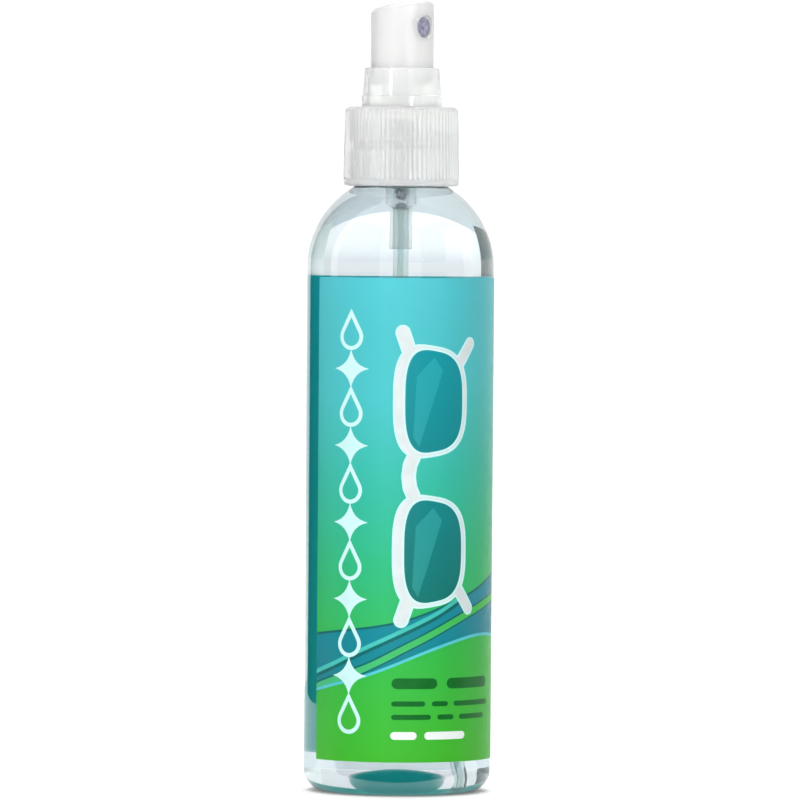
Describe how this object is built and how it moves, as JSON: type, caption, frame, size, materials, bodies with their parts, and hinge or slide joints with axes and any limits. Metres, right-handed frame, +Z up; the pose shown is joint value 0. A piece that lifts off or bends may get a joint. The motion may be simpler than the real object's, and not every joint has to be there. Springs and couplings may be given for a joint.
{
  "type": "lens cleaning spray bottle",
  "caption": "Clear round bottle of spectacle lens cleaner with a wrap label, a ribbed screw closure and a finger pump mist head.",
  "frame": {"origin": "centre of the ring that the bottle stands on, at the surface", "axes": "+Z up along the bottle's axis; -Y towards the front of the label; the dip tube curves towards +X"},
  "size_m": [0.0437, 0.0438, 0.1846],
  "materials": {
    "clear_bottle": "gloss",
    "printed_label": "satin",
    "fluid": "polished",
    "natural_closure": "satin",
    "foam_gasket": "matte",
    "natural_pump": "satin",
    "dark_seal": "matte",
    "stainless": "polished",
    "clear_tube": "gloss",
    "white_head": "satin",
    "grey_insert": "satin"
  },
  "bodies": {
    "bottle_body": {"bottle": "clear_bottle", "label": "printed_label", "cleaning_fluid": "fluid"},
    "pump": {"pump_housing": "natural_pump", "turret": "natural_pump", "stem_seal": "dark_seal", "gasket": "foam_gasket", "dip_tube": "clear_tube", "return_spring": "stainless"},
    "closure_ring": {"closure": "natural_closure"},
    "plunger": {"stem": "white_head", "stem_poppet": "natural_pump"},
    "mist_head": {"head": "white_head", "nozzle_insert": "grey_insert"},
    "piston_cup": {"piston": "natural_pump"},
    "inlet_valve": {"inlet_ball": "stainless"}
  },
  "joints": [
    {"name": "sprayer_lift", "type": "slide", "parent": "bottle_body", "child": "pump", "axis": [0, 0, 1], "range_m": [0, 0.00714]},
    {"name": "closure_turn", "type": "hinge", "parent": "pump", "child": "closure_ring", "pos_m": [0, 0, 0.15], "axis": [0, 0, 1], "range_deg": [0, 810]},
    {"name": "head_press", "type": "slide", "parent": "pump", "child": "plunger", "axis": [0, 0, -1], "range_m": [0, 0.0045], "stiffness_N_per_m": 900, "deforming": ["return_spring"]},
    {"name": "head_swivel", "type": "hinge", "parent": "plunger", "child": "mist_head", "pos_m": [0, 0, 0.17], "axis": [0, 0, 1], "continuous": true},
    {"name": "piston_slip", "type": "slide", "parent": "plunger", "child": "piston_cup", "axis": [0, 0, 1], "range_m": [0, 0.0006]},
    {"name": "ball_lift", "type": "slide", "parent": "pump", "child": "inlet_valve", "axis": [0, 0, 1], "range_m": [0, 0.0012]}
  ],
  "couplings": [
    {"joint": "closure_turn", "follows": "sprayer_lift", "rad_per_m": 1979}
  ]
}
